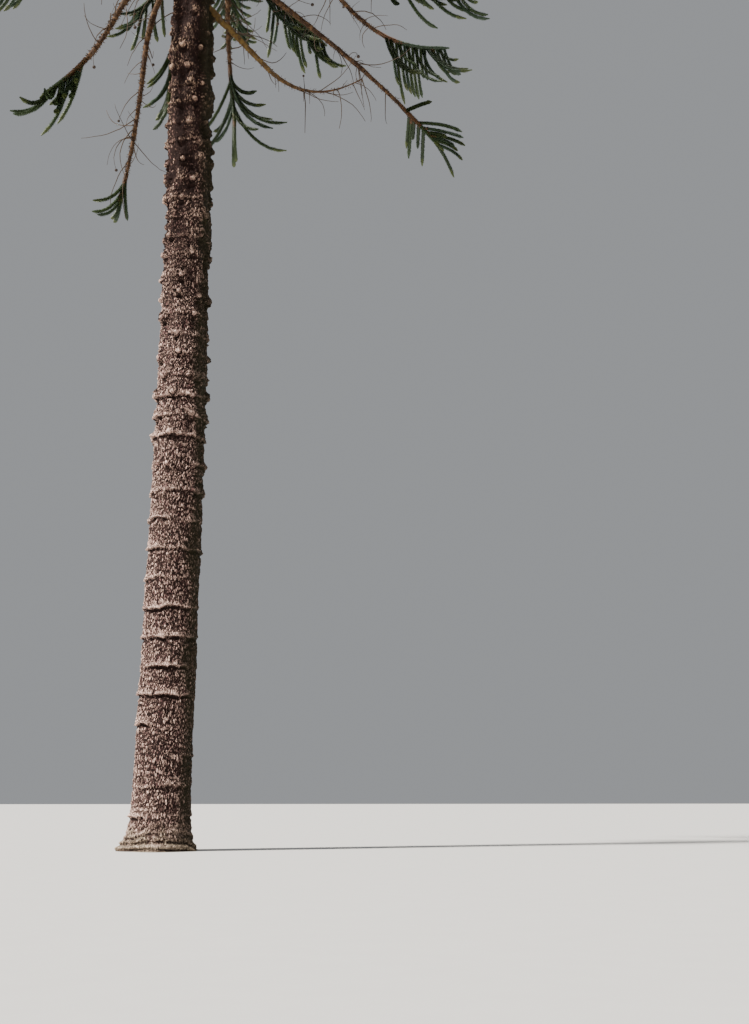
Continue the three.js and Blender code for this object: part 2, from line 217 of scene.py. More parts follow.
def trunk_relief(turn, height):
    """The bark over the smooth trunk, in metres, with masks from 0 to 1: cracks with painted shade, pale wood
    with painted highlight, wet green bark that is partly painted shade on the side away from the key light,
    and dust.

    Plates stand between cracks, their raised tops pale as painted highlight. Each ring is a ragged lip that
    overhangs a groove darkened as painted shadow, and wanders round the trunk. Each knob is a blunt boss in a
    collar of rough bark, with a dip under it and a sunk ring round its lower half, both darkened as painted
    shadow. Ropes of bark run down between the knobs, pale on their crests as painted highlight, with painted
    shade in the dips between them; rope-like folds lie round the foot, with painted shade in their creases,
    and soft patches lie over all of it."""
    across = (turn / (2 * np.pi)) % 1
    plate, own = bark_plates(across, height)
    patch = lattice(across, height * 1.6, 5, 21)
    rough = lattice(across, height * 9, 34, 22)
    fine = lattice(across, height * 26, 90, 25)
    coarse = lattice(across + 0.02 * lattice(across, height * 2, 9, 24), height * 3.1, 13, 23)
    crack_and_shade = 1 - plate
    scale = mix(1.0, 0.6, smooth((height - 14) / 6))
    rugged = smooth((height - 6.5) / 5.5)
    rope = lattice(across + 0.035 * lattice(across, height * 1.3, 6, 26), height * 1.1, 17, 27)
    relief = scale * (PLATE_DEPTH * plate + 0.005 * fine - 0.014)
    swell = COARSE_DEPTH * coarse + ROPE_DEPTH * rope - 0.016
    relief += scale * (0.010 * patch + 0.008 * rough + rugged * swell)
    # Painted highlight: raised plate tops are paler, less so above 9.5 m as painted shade; up high the crests
    # of coarse swells and ropes are paler too.
    pale = (0.34 * own + 0.40 * smooth(0.5 + fine)) * plate * (1 - 0.60 * smooth((height - 9.5) / 4))
    pale += 0.50 * smooth(1.3 * coarse + 1.0 * rope - 0.1) * rugged * smooth(0.7 + fine)
    # Painted shade: the dips between ropes and coarse swells up high are darkened and lose their pale marks.
    hollow_shade = smooth(0.50 - 2.2 * coarse - 1.9 * rope)
    crack_and_shade = np.maximum(crack_and_shade, rugged * hollow_shade * smooth(0.9 + fine))
    pale = pale * (1 - 0.75 * rugged * hollow_shade)
    for k, ring in enumerate(ring_heights()):
        near = np.abs(height[:, 0] - ring) < 0.35
        if not near.any():
            continue
        round_here, level = across[near], np.full_like(height[near], k * 3.7)
        wander = 0.045 * lattice(round_here, level, 5, 31) + 0.024 * lattice(round_here, level * 1.7, 31, 32)
        rise = height[near] - ring - wander
        present = smooth(0.72 + 1.1 * lattice(round_here, level * 0.9, 4, 33))
        strength = present * mix(1.0, 0.40, smooth((ring - 6) / 4)) * mix(1, 0.3, smooth((ring - 17) / 4))
        lumps = smooth(0.62 + 0.8 * lattice(round_here, level * 2.3, 53, 34))
        lip = np.exp(-np.maximum(rise, 0) / 0.050) * smooth(rise / 0.018 + 1) * (0.35 + 0.85 * lumps)
        groove = np.exp(-(((rise + 0.050) / 0.032) ** 2)) * (0.45 + 0.65 * lumps)
        relief[near] += strength * (LIP_DEPTH * lip - GROOVE_DEPTH * groove)
        pale[near] += 0.9 * strength * lip * smooth(0.75 + rough[near])
        # The groove under each lip is darkened as painted shadow.
        crack_and_shade[near] = np.maximum(crack_and_shade[near] * (1 - 0.8 * strength * lip), 1.4 * strength * groove)
    for place, ring, size, reach in KNOBS:
        near = np.abs(height[:, 0] - ring) < 5 * size
        if not near.any():
            continue
        sideways = (turn[near] - place + np.pi) % (2 * np.pi) - np.pi
        sideways = sideways * trunk_radius(height[near], turn[near])
        above = height[near] - ring
        gap = np.hypot(sideways, above * mix(0.8, 1.1, smooth(0.5 - above / size))) / size
        gap = gap * (1 + 0.22 * rough[near])
        boss = np.exp(-(gap**4) * 0.8)
        ragged = smooth(0.5 + rough[near] + 0.5 * fine[near])
        collar = np.exp(-(((gap - 1.75) / 0.55) ** 2)) * (0.30 + 1.3 * ragged)
        under = np.exp(-((sideways / (1.4 * size)) ** 2) - ((above + 2.1 * size) / (0.95 * size)) ** 2)
        shade = np.exp(-(((gap - 1.18) / 0.26) ** 2)) * smooth(0.65 - 0.8 * above / size)
        weight = reach / 0.075
        relief[near] = relief[near] * (1 - 0.8 * boss * weight)
        relief[near] += reach * (boss + 0.55 * collar - 0.65 * under) - 0.026 * weight * shade
        pale[near] += weight * (0.65 * boss * smooth(1.1 - gap) + 0.70 * collar * smooth(0.5 + fine[near]))
        # Painted shadow: the dip under each knob and the sunk ring round its lower half are darkened.
        deep = weight * np.maximum(1.3 * shade, 1.25 * under)
        crack_and_shade[near] = np.maximum(crack_and_shade[near] * (1 - 0.8 * boss * weight), deep)
    foot = np.exp(-height / FOOT_HEIGHT)
    folds = np.sin(height * ROOT_FOLDS + 6 * lattice(across, height * 2.5, 7, 51))
    relief += foot * (FOLD_DEPTH * folds + FOOT_LUMP_DEPTH * lattice(across, height * 1.1, 9, 52))
    band = smooth(1.6 * lattice(across, height * 22, 7, 53) - 0.2) * smooth(1.25 - height)
    pale += 0.30 * foot + 0.32 * band
    # Painted shade in the creases between the foot's folds.
    crack_and_shade = crack_and_shade * (1 - 0.7 * foot) * (1 - 0.4 * band) + 0.55 * foot * smooth(-1.4 * folds)
    dust = smooth(1.15 - height / 0.42 + 0.35 * rough)
    # The side away from the key light, over the full height: partly wet green bark, partly painted shade.
    side = np.cos(turn + 0.12)
    damp_and_shade = smooth((side - 0.42) / 0.45 + 0.35 * patch) * smooth((height + 0.6) / 1.2)
    masks = {"crack_and_shade": crack_and_shade, "pale": pale, "damp_and_shade": damp_and_shade, "dust": dust}
    return relief, {mask: np.clip(values, 0, 1) for mask, values in masks.items()}


def surface_mesh(name, points, faces, masks=None):
    """A mesh from arrays of points and faces, with one number a point for each mask."""
    mesh = bpy.data.meshes.new(name)
    faces = np.asarray(faces, dtype=np.int32)
    mesh.vertices.add(len(points))
    mesh.vertices.foreach_set("co", np.asarray(points, dtype=np.float32).ravel())
    mesh.loops.add(faces.size)
    mesh.loops.foreach_set("vertex_index", faces.ravel())
    mesh.polygons.add(len(faces))
    mesh.polygons.foreach_set("loop_start", np.arange(0, faces.size, faces.shape[1], dtype=np.int32))
    for mask, values in (masks or {}).items():
        made = mesh.attributes.new(mask, "FLOAT", "POINT")
        made.data.foreach_set("value", np.asarray(values, dtype=np.float32).ravel())
    mesh.update(calc_edges=True)
    mesh.validate()
    piece = bpy.data.objects.new(name, mesh)
    bpy.context.scene.collection.objects.link(piece)
    return piece


def smooth_faces(piece):
    """Shades every face of a piece smooth."""
    piece.data.polygons.foreach_set("use_smooth", np.ones(len(piece.data.polygons), dtype=bool))


def wrapped_quads(rings, sides):
    """Quads between rings of points, each ring closed on itself, with faces outwards where the ring turns
    anticlockwise as seen from its end."""
    ring, side = np.meshgrid(np.arange(rings - 1), np.arange(sides), indexing="ij")
    a = ring * sides + side
    b = ring * sides + (side + 1) % sides
    return np.stack([a, b, b + sides, a + sides], axis=-1).reshape(-1, 4)


class Wire:
    """A value in a material's nodes. Sums, differences, products and quotients of wires and numbers add
    Math nodes, and node() adds any other node."""

    def __init__(self, tree, socket=None):
        self.tree = tree
        self.socket = socket

    def node(self, kind, settings, sockets, output=0):
        """Adds a node of a type, with its settings first and then its sockets' values or links."""
        made = self.tree.nodes.new(kind)
        for key, value in settings.items():
            setattr(made, key, value)
        for key, value in sockets.items():
            if isinstance(value, Wire):
                self.tree.links.new(value.socket, made.inputs[key])
            else:
                made.inputs[key].default_value = value
        return Wire(self.tree, made.outputs[output] if made.outputs else None)

    def maths(self, operation, *terms):
        return self.node("ShaderNodeMath", {"operation": operation}, dict(enumerate(terms)))

    def __add__(self, other):
        return self.maths("ADD", self, other)

    def __sub__(self, other):
        return self.maths("SUBTRACT", self, other)

    def __rsub__(self, other):
        return self.maths("SUBTRACT", other, self)

    def __mul__(self, other):
        return self.maths("MULTIPLY", self, other)

    def __truediv__(self, other):
        return self.maths("DIVIDE", self, other)

    __radd__ = __add__
    __rmul__ = __mul__

    def held(self):
        """The value held between 0 and 1."""
        return self.node("ShaderNodeClamp", {}, {"Value": self})

    def blend(self, low, high):
        """A colour from low to high by this share."""
        return self.node("ShaderNodeMix", {"data_type": "RGBA"}, {0: self, 6: low, 7: high}, output=2)


def blank_material(name):
    """A material with no nodes yet, and a wire to add them by."""
    material = bpy.data.materials.new(name)
    material.use_nodes = True
    material.node_tree.nodes.clear()
    return material, Wire(material.node_tree)


def finish_material(start, colour, roughness, relief, depth, specular=0.5):
    """Joins a colour, a roughness and a relief, depth metres high for each 1, to a shader and the output."""
    normal = start.node("ShaderNodeBump", {}, {"Height": relief, "Distance": depth, "Strength": 1.0})
    look = {"Base Color": colour, "Roughness": roughness, "Normal": normal, "Specular IOR Level": specular}
    shader = start.node("ShaderNodeBsdfPrincipled", {}, look)
    start.node("ShaderNodeOutputMaterial", {}, {"Surface": shader})


def trunk_material():
    """Pinkish grey-brown bark, darker towards the crown as painted shade, with dark cracks that also carry
    painted shadow under the rings and knobs, pale ledges and knobs, pale raised plates and ropes as painted
    highlight, ochre dust on the foot, and dull dark green on the side away from the key light, partly wet
    bark and partly painted shade. Small upright grains, the cells of a jittered lattice stretched over three
    times in height,
    break up every plate: their edges are cracks, and each has its own tone."""
    material, start = blank_material("trunk_bark")
    place = start.node("ShaderNodeTexCoord", {}, {}, output=3)
    crack_and_shade, pale, damp_and_shade, dust = (
        start.node("ShaderNodeAttribute", {"attribute_name": mask}, {}, output=2)
        for mask in ("crack_and_shade", "pale", "damp_and_shade", "dust")
    )
    broad = start.node("ShaderNodeTexNoise", {}, {"Vector": place, "Scale": 2.2, "Detail": 4.0})
    mid = start.node("ShaderNodeTexNoise", {}, {"Vector": place, "Scale": 14.0, "Detail": 5.0})
    fine = start.node("ShaderNodeTexNoise", {}, {"Vector": place, "Scale": 75.0, "Detail": 6.0})
    bend = start.node("ShaderNodeTexNoise", {}, {"Vector": place, "Scale": 9.0, "Detail": 2.0}, output=1)
    terms = {0: bend, 1: (0.12, 0.12, 0.12), 2: place}
    bent = start.node("ShaderNodeVectorMath", {"operation": "MULTIPLY_ADD"}, terms)
    upright = start.node("ShaderNodeMapping", {}, {"Vector": bent, "Scale": (1.0, 1.0, 0.28)})
    edges = {"Vector": upright, "Scale": GRAIN_SCALE}
    rim = start.node("ShaderNodeTexVoronoi", {"feature": "DISTANCE_TO_EDGE"}, edges)
    tone = start.node("ShaderNodeTexVoronoi", {"feature": "F1"}, edges, output=1)
    tone = start.node("ShaderNodeSeparateColor", {}, {"Color": tone})
    grain = (rim * 5.5).held()
    body = (broad * 2.4 - 0.7).held().blend(BARK_BROWN, BARK_PINK)
    body = (mid * 1.8 - 0.55).held().blend(body, BARK_MAUVE)
    tall = start.node("ShaderNodeSeparateXYZ", {}, {"Vector": place}, output=2)
    tall = ((tall - 9.0) / 4.5).held()
    # Painted shade: above 9 m the bark turns darker, its light marks fewer and darker, and its cracks deeper.
    body = (tall * 0.68).held().blend(body, BARK_HIGH_SHADE)
    light = (pale * 1.60 + grain * tone * (1.25 - tall * 0.60) + fine * 0.9 - tall * 0.08 - 0.62).held()
    body = light.blend(body, tall.blend(PALE_LOW, PALE_HIGH_SHADE))
    body = (dust * (0.5 + mid * 0.9) * 0.9).held().blend(body, FOOT_DUST)
    # Dark in real cracks and grain edges, and also painted shadow under rings and knobs, in dips and in
    # creases.
    deep = (crack_and_shade * (1.6 + tall * 0.3) + (1.0 - grain) * 1.05 + fine * 0.5 - 0.74).held()
    body = deep.blend(body, CRACK_AND_SHADE_DARK)
    # Dull dark green on the side away from the key light: partly wet bark, partly painted shade.
    green = (damp_and_shade * (0.55 + mid * 0.8) * 0.95 - 0.05).held()
    body = green.blend(body, DAMP_AND_SHADE_GREEN)
    relief = grain * (0.55 + tone * 0.45) + fine * 0.35
    finish_material(start, body, 0.86 + fine * 0.12, relief, BARK_BUMP, specular=0.2)
    return material


def trunk_piece(name, low, high, rows, columns):
    """Part of the trunk on a grid of turns and heights: x, y = (radius + relief) * (cos, sin) of the turn,
    off the bowed axis, closed by a flat fan at each end."""
    turns = np.linspace(0, 2 * np.pi, columns, endpoint=False)
    turn, height = np.meshgrid(turns, np.linspace(low, high, rows))
    relief, masks = trunk_relief(turn, height)
    radius = trunk_radius(height, turn)
    reach = radius + relief * np.minimum(1, radius / 0.2)
    points = np.stack([reach * np.cos(turn) + bow(height), reach * np.sin(turn), height], axis=-1)
    points = points.reshape(-1, 3)
    ends = np.array([[bow(low), 0, low], [bow(high), 0, high]])
    quads = wrapped_quads(rows, columns)
    triangles = np.concatenate([quads[:, [0, 1, 2]], quads[:, [0, 2, 3]]])
    k = np.arange(columns)
    after = (k + 1) % columns
    top = (rows - 1) * columns
    under = np.stack([np.full_like(k, len(points)), after, k], axis=-1)
    over = np.stack([np.full_like(k, len(points) + 1), top + k, top + after], axis=-1)
    masks = {mask: np.append(values.ravel(), [0, 0]) for mask, values in masks.items()}
    piece = surface_mesh(name, np.vstack([points, ends]), np.vstack([triangles, under, over]), masks)
    smooth_faces(piece)
    return piece


bark = trunk_material()
for name, extent in TRUNK_PIECES.items():
    piece = trunk_piece(name, *extent)
    piece.data.materials.append(bark)
    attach(piece, "root")
    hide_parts("trunk")


# LIMBS
# The boughs under the crown and the whorls above them: long whips of tough wood that taper slowly, rough with
# the dry bases of old leaves. They grow from the trunk in rings and bend through their slopes.
LIMB_ROOT_RADIUS = 0.066
LIMB_END_RADIUS = 0.030
COLLAR_REACH = 0.026
COLLAR_LENGTH = 0.24
LIMB_STEPS = 24
LIMB_SIDES = 12
LIMB_RINGS = 150
FIRST_TURN = 0.45
SHOOT_SEED = 1000
BOUGH_COLUMNS = ["angle", "height", "length", "leave", "hang_slope", "end", "sway", "bare", "shoot"]
BOUGHS = [
    (205, 15.93, 4.50, -8, -66, -47, 3, 0.71, 1.12),
    (143, 16.60, 5.20, -35, -84, -76, -6, 0.87, 0.72),
    (133, 17.38, 2.35, -42, -58, -4, 0, 0.54, 0.95),
    (104, 17.12, 3.53, -19, -68, -86, 1, 0.58, 0.95),
    (358, 15.74, 4.02, -44, -47, 31, -1, 1.00, 0.00),
    (57, 17.84, 4.77, -9, -88, -76, -4, 0.75, 1.50),
    (16, 16.85, 6.25, -24, -28, -40, 2, 0.79, 1.00),
    (37, 17.60, 4.00, -48, -12, -13, 4, 0.50, 1.15),
    (26, 18.58, 6.95, -6, -39, 20, 4, 0.71, 1.25),
    (341, 18.20, 6.00, -22, -40, -12, 4, 0.70, 1.10),
    (187, 17.60, 5.00, -18, -42, -14, 4, 0.62, 1.05),
    (226, 17.70, 5.00, -10, -34, -10, 4, 0.58, 1.00),
    (252, 18.30, 5.10, -10, -36, -10, -4, 0.60, 1.05),
    (277, 17.90, 4.80, -8, -30, -6, 4, 0.58, 1.00),
    (300, 17.35, 4.60, -6, -28, -6, 4, 0.58, 0.95),
    (320, 18.00, 5.20, -12, -34, -12, -4, 0.60, 1.05),
]
BOUGH_HABIT = {"shoots": 30, "girth": 1.0, "hang": 0.96, "rise": 80, "hook": 80, "spread": 54}
OWN_HABITS = {
    0: {"hook": 74, "spread": 84},
    5: {"spread": 96},
    6: {"hang": 0.25, "hook": -36, "spread": 78},
}
WHORL_SEED = 900
WHORL_SEED_STEP = 10
WHORL_FIRST = 19.0
WHORL_SPACING = 0.69
WHORL_COUNTS = [5, 5, 4, 4, 4, 3, 2]
WHORL_TWIST = 137.5
WHORL_LENGTHS = (5.25, 1.45)
WHORL_SLOPES_LOW = (2, -26, -8)
WHORL_SLOPES_HIGH = (58, 30, 56)
WHORL_SWAY = 5
WHORL_JITTER = {"angle": 16, "height": 0.12, "length": 0.06}
WHORL_HABIT = {
    "bare": (0.46, 0.2), "shoot": (1.05, 0.62), "girth": (1, 0.62), "hang": (0.78, 0), "rise": (60, 105),
    "hook": (78, 78), "spread": (62, 62),
}
WHORL_LEADING = (6, 5)
SHOOT_STRIDE = 5
LEADER = {
    "angle": 0, "height": TRUNK_TOP, "length": 0.7, "leave": 90, "hang_slope": 90, "end": 90, "sway": 0,
    "bare": 0.12, "shoot": 0.56, "shoots": 25, "girth": 0.5, "hang": 0, "rise": 118, "hook": 78,
    "spread": 180,
}


def draws(seeds, count):
    """Numbers from 0 to 1, a row for each draw and a column for each seed: each state is the one before it
    times 16807, modulo 2^31 - 1, and the first three are passed over."""
    modulus = 2147483647
    state = np.asarray(seeds, dtype=np.int64) * 7919 % modulus + 1
    rows = []
    for _ in range(3 + count):
        state = state * 16807 % modulus
        rows.append(state / modulus)
    return np.array(rows[3:])


def whorl_limbs():
    """One row of sizes for each limb of each whorl, from level and long to steep and short."""
    rows = []
    for whorl, count in enumerate(WHORL_COUNTS):
        u = whorl / (len(WHORL_COUNTS) - 1)
        for k in range(count):
            turn, rise, reach, sway = draws([WHORL_SEED + WHORL_SEED_STEP * whorl + k], 4)[:, 0]
            row = {key: mix(*ends, u) for key, ends in WHORL_HABIT.items()}
            slopes = [mix(a, b, u) for a, b in zip(WHORL_SLOPES_LOW, WHORL_SLOPES_HIGH)]
            row["leave"], row["hang_slope"], row["end"] = slopes
            angle = whorl * WHORL_TWIST + k * 360 / count + (turn - 0.5) * WHORL_JITTER["angle"]
            row["angle"] = angle % 360
            row["height"] = WHORL_FIRST + whorl * WHORL_SPACING + (rise - 0.5) * WHORL_JITTER["height"]
            row["length"] = mix(*WHORL_LENGTHS, u) * (1 + WHORL_JITTER["length"] * mix(-1, 1, reach))
            row["sway"] = WHORL_SWAY * mix(-1, 1, sway)
            row["shoots"] = SHOOT_STRIDE * math.floor(mix(*WHORL_LEADING, u) + 0.5)
            rows.append(row)
    return rows


boughs = [{**BOUGH_HABIT, **dict(zip(BOUGH_COLUMNS, row))} for row in BOUGHS]
for bough, habit in OWN_HABITS.items():
    boughs[bough].update(habit)
limb_rows = boughs + whorl_limbs() + [LEADER]
limbs = {key: np.array([float(row[key]) for row in limb_rows]) for key in LEADER}
limb_count = len(limb_rows)
limb_seeds = SHOOT_SEED * np.arange(1, limb_count + 1)


def limb_paths():
    """Each limb's centre line in its own frame, in which it leaves along +X: equal steps, whose slope eases
    from the first to the hanging slope and then to the last, and which sway sideways by half a sine."""
    s = (np.arange(LIMB_STEPS) + 0.5) / LIMB_STEPS
    early = mix(limbs["leave"][:, None], limbs["hang_slope"][:, None], smooth(s / FIRST_TURN))
    late = smooth((s - FIRST_TURN) / (1 - FIRST_TURN))
    slope = np.radians(mix(early, limbs["end"][:, None], late))
    side = np.radians(limbs["sway"][:, None] * np.sin(np.pi * s))
    step = limbs["length"][:, None] / LIMB_STEPS
    moves = np.stack([np.cos(slope) * np.cos(side), np.cos(slope) * np.sin(side), np.sin(slope)], axis=-1)
    moves = moves * step[..., None]
    return np.concatenate([np.zeros((limb_count, 1, 3)), np.cumsum(moves, axis=1)], axis=1)


def to_world(points, which):
    """Points in the frames of limbs, turned by each limb's compass angle and moved to its root's place.

    which has the limb of each row of points."""
    angle = np.radians(limbs["angle"][which])
    shape = (-1,) + (1,) * (points.ndim - 2)
    c, s = np.cos(angle).reshape(shape), np.sin(angle).reshape(shape)
    x = points[..., 0] * c - points[..., 1] * s + bow(limbs["height"][which]).reshape(shape)
    y = points[..., 0] * s + points[..., 1] * c
    return np.stack([x, y, points[..., 2] + limbs["height"][which].reshape(shape)], axis=-1)


def limb_radius(which, s):
    """A limb's radius: an even taper from root to end, with a collar that fades from the trunk's axis."""
    collar = COLLAR_REACH * np.exp(-s * limbs["length"][which] / COLLAR_LENGTH)
    return (mix(LIMB_ROOT_RADIUS, LIMB_END_RADIUS, s) + collar) * limbs["girth"][which]


def along_path(points, s):
    """Points at shares s along paths of equal steps, straight between the steps. One share or a row of them
    for each path."""
    steps = points.shape[-2] - 1
    place = np.clip(s, 0, 1) * steps
    i = np.minimum(np.floor(place).astype(int), steps - 1)
    rows = np.arange(len(points))
    rows = rows.reshape((-1,) + (1,) * (s.ndim - 1))
    return points[rows, i] + (points[rows, i + 1] - points[rows, i]) * (place - i)[..., None]


def unit(vectors):
    """Vectors at length 1."""
    return vectors / np.maximum(np.linalg.norm(vectors, axis=-1, keepdims=True), 1e-12)


def tube_rings(centres, across, radii, sides):
    """Rings round centre lines: at each point, radius * (cos * across + sin * up), where across is squared
    to the line's direction and up stands on both."""
    tangent = unit(np.gradient(centres, axis=-2))
    across = unit(across - tangent * np.sum(across * tangent, axis=-1, keepdims=True))
    up = np.cross(tangent, across)
    turn = 2 * np.pi * np.arange(sides) / sides
    ring = np.cos(turn)[:, None] * across[..., None, :] + np.sin(turn)[:, None] * up[..., None, :]
    return centres[..., None, :] + radii[..., None] * ring


def tubes(rings):
    """Points and triangles of closed tubes from an array of rings, with a point amid each end."""
    count, stations, sides = rings.shape[:3]
    quads = wrapped_quads(stations, sides)
    k = np.arange(sides)
    after = (k + 1) % sides
    last = (stations - 1) * sides
    start = stations * sides
    under = np.stack([np.full(sides, start), after, k], axis=-1)
    over = np.stack([np.full(sides, start + 1), last + k, last + after], axis=-1)
    triangles = np.concatenate([quads[:, [0, 1, 2]], quads[:, [0, 2, 3]], under, over])
    ends = rings[:, [0, -1]].mean(axis=2)
    points = np.concatenate([rings.reshape(count, -1, 3), ends], axis=1)
    offset = np.arange(count)[:, None, None] * points.shape[1]
    return points.reshape(-1, 3), (triangles + offset).reshape(-1, 3)


def limb_material():
    """Dull brown limb bark: darker between the leaf bases, with rusty patches, and golden on dead wood."""
    material, start = blank_material("limb_bark")
    place = start.node("ShaderNodeTexCoord", {}, {}, output=3)
    pale, dead = (
        start.node("ShaderNodeAttribute", {"attribute_name": mask}, {}, output=2)
        for mask in ("pale", "dead")
    )
    broad = start.node("ShaderNodeTexNoise", {}, {"Vector": place, "Scale": 3.0, "Detail": 3.0})
    fine = start.node("ShaderNodeTexNoise", {}, {"Vector": place, "Scale": 90.0, "Detail": 5.0})
    body = (broad * 2 - 0.5).held().blend((0.022, 0.011, 0.007, 1), (0.066, 0.034, 0.018, 1))
    body = (pale * 1.5 + fine * 0.8 - 1.0).held().blend(body, (0.16, 0.088, 0.040, 1))
    body = (dead * (pale * 0.9 + fine * 0.5 - 0.1)).held().blend(body, (0.155, 0.098, 0.028, 1))
    finish_material(start, body, 0.80 + fine * 0.15, fine, 0.008, specular=0.25)
    return material


limb_local = limb_paths()
limb_world = to_world(limb_local, np.arange(limb_count))
bare_share = np.round(limbs["bare"] * LIMB_STEPS) / LIMB_STEPS


def limb_piece(name, which):
    """The bare part of limbs: tubes that start inside the trunk, whose radius swells in soft patches and in
    knots. A dead whip, which carries no shoots, thins towards its end and turns from golden to brown."""
    axis_gap = 0.5 * trunk_radius(limbs["height"][which], 0) * np.cos(np.radians(limbs["leave"][which]))
    from_trunk = axis_gap / limbs["length"][which]
    s = from_trunk[:, None] + (bare_share[which] - from_trunk)[:, None] * np.linspace(0, 1, LIMB_RINGS)
    centres = to_world(along_path(limb_local[which], s), which)
    angle = np.radians(limbs["angle"][which])
    across = np.stack([-np.sin(angle), np.cos(angle), np.zeros(len(which))], axis=-1)[:, None, :]
    turn = np.arange(LIMB_SIDES) / LIMB_SIDES
    metres = (s * limbs["length"][which][:, None])[..., None]
    turn = np.broadcast_to(turn, metres.shape[:2] + (LIMB_SIDES,))
    apart = np.arange(len(which))[:, None, None]
    cover = lattice(turn, metres * 26 + apart * 9, 6, 61)
    knots = smooth(lattice(turn, metres * 5 + apart * 7, 3, 62) * 2 - 0.7)
    radii = limb_radius(which[:, None], s)[..., None] * (0.94 + 0.12 * cover + 0.24 * knots)
    whip = (limbs["shoot"][which] == 0)[:, None, None]
    radii = radii * np.where(whip, 1 - 0.62 * smooth((s[..., None] - 0.45) / 0.55), 1)
    rings = tube_rings(centres, across, radii, LIMB_SIDES)
    points, faces = tubes(rings)
    pale = np.concatenate([(0.5 + 0.5 * cover).reshape(len(which), -1), np.zeros((len(which), 2))], axis=1)
    dead = np.broadcast_to(whip * (1 - smooth((s[..., None] - 0.30) / 0.55)), turn.shape)
    dead = np.concatenate([dead.reshape(len(which), -1), np.zeros((len(which), 2))], axis=1)
    piece = surface_mesh(name, points, faces, {"pale": pale, "dead": dead})
    smooth_faces(piece)
    return piece


limb_bark = limb_material()
bough_numbers = np.arange(len(BOUGHS))
whorl_numbers = np.arange(len(BOUGHS), limb_count)
piece = limb_piece("bough_bark", bough_numbers)
piece.data.materials.append(limb_bark)
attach(piece, "root")
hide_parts(*[f"bough_{n + 1:02d}" for n in bough_numbers])
crown_nodes = [f"crown_foliage_{n - len(BOUGHS) + 1:02d}" for n in whorl_numbers[:-1]] + ["crown_leader"]
piece = limb_piece("crown_limb_bark", whorl_numbers)
piece.data.materials.append(limb_bark)
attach(piece, "root")
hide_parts(*crown_nodes)


# SHOOTS
# The leafy end of each limb and the snaky shoots that hang from it in two rows, hook upwards at their tips,
# and live for many years wrapped in stiff scale leaves. The cores are green wood.
LEAFY_START = 0.035
LEAFY_END = 0.985
ASIDE_JITTER = 30
HANGING = 6
HANGING_JITTER = 22
HOOK_FIRST = 0.6
HOOK_JITTER = 16
HOOK_POWER = 1.6
LEADING_LENGTHS = (0.95, 1.15)
LESSER_LENGTHS = (0.5, 1.0)
END_LENGTH = 0.72
SHOOT_STEPS = 8
SHOOT_RADIUS = 0.052
STEM_RADIUS = 0.046
CLEARANCE = 0.06
SHOOT_SPACING = 0.090
CROWN_MARGIN = 0.05
CORE_RADIUS = 0.022
STEM_CORE_RADIUS = 0.029
CORE_SIDES = 5
FORKED_SHARE = 0.80
FORK_PLACES = (0.22, 0.60)
FORK_TURNS = (28, 58)
FORK_SCALES = (0.65, 0.95)


def shoot_table():
    """Every shoot of every limb: its limb, its number there, and its path in the limb's frame. Each step
    turns from the first to the last angle off straight down, in the upright plane of its compass angle."""
    counts = np.where(limbs["shoot"] > 0, limbs["shoots"], 0).astype(int)
    which = np.repeat(np.arange(limb_count), counts)
    number = np.arange(len(which)) - np.repeat(np.cumsum(counts) - counts, counts)
    row = {key: values[which] for key, values in limbs.items()}
    aside_draw, from_draw, to_draw, length_draw = draws(limb_seeds[which] + number, 4)
    t = (number + 0.5) / row["shoots"]
    side = np.where(number % 2 == 1, 1, -1)
    leading = number % SHOOT_STRIDE == 0
    aside = np.radians(side * mix(row["spread"], row["spread"] / 3, t) + (aside_draw - 0.5) * ASIDE_JITTER)
    first = mix(row["rise"], HANGING, row["hang"]) + from_draw * HANGING_JITTER
    last = first + row["hook"] * mix(HOOK_FIRST, 1, t) + to_draw * HOOK_JITTER
    share = np.where(leading, mix(*LEADING_LENGTHS, length_draw), mix(*LESSER_LENGTHS, length_draw))
    length = row["shoot"] * share * mix(1, END_LENGTH, t * t)
    start = along_path(limb_local[which], mix(row["bare"] + LEAFY_START, LEAFY_END, t))
    k = (np.arange(SHOOT_STEPS) + 0.5) / SHOOT_STEPS
    bend = np.radians(mix(first[:, None], last[:, None], k ** HOOK_POWER))
    step = (length / SHOOT_STEPS)[:, None]
    out = np.sin(bend) * step
    aside = aside[:, None]
    moves = np.stack([out * np.cos(aside), out * np.sin(aside), -np.cos(bend) * step], axis=-1)
    path = start[:, None] + np.concatenate([np.zeros((len(which), 1, 3)), np.cumsum(moves, axis=1)], axis=1)
    return which, number, leading, aside[:, 0], length, path


shoot_limb, shoot_number, leading, shoot_aside, shoot_length, shoot_local = shoot_table()
shoot_world = to_world(shoot_local, shoot_limb)


